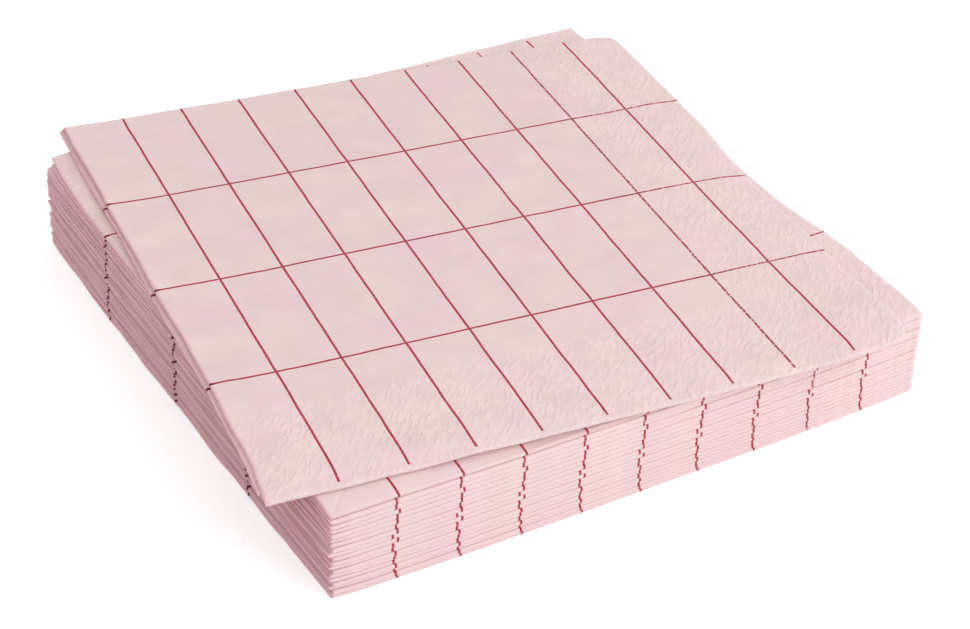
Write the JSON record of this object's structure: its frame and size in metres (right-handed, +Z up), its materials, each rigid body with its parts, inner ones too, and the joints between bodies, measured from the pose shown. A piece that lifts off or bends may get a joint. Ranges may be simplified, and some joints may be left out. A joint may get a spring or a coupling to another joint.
{
  "type": "stack of paper napkins",
  "caption": "Stack of quarter-folded square paper dinner napkins with a thin grid print, the top one turned over and laid askew.",
  "frame": {"origin": "centre of the stack's square footprint, on the flat underside of the lowest napkin", "axes": "+Z up out of the stack, -X the side with the double folds, -Y the side with the single nested fold, +X and +Y the cut edges"},
  "size_m": [0.2225, 0.2263, 0.0337],
  "materials": {
    "paper": "matt soft tissue, pale pink with a fine crimson grid print"
  },
  "bodies": {
    "root": {"napkin_01": "paper", "napkin_02": "paper", "napkin_03": "paper", "napkin_04": "paper", "napkin_05": "paper", "napkin_06": "paper", "napkin_07": "paper", "napkin_08": "paper", "napkin_09": "paper", "napkin_10": "paper", "napkin_11": "paper", "napkin_12": "paper", "napkin_13": "paper", "napkin_14": "paper", "napkin_15": "paper", "napkin_16": "paper", "napkin_17": "paper", "napkin_18": "paper", "napkin_19": "paper", "napkin_20": "paper"}
  },
  "joints": []
}
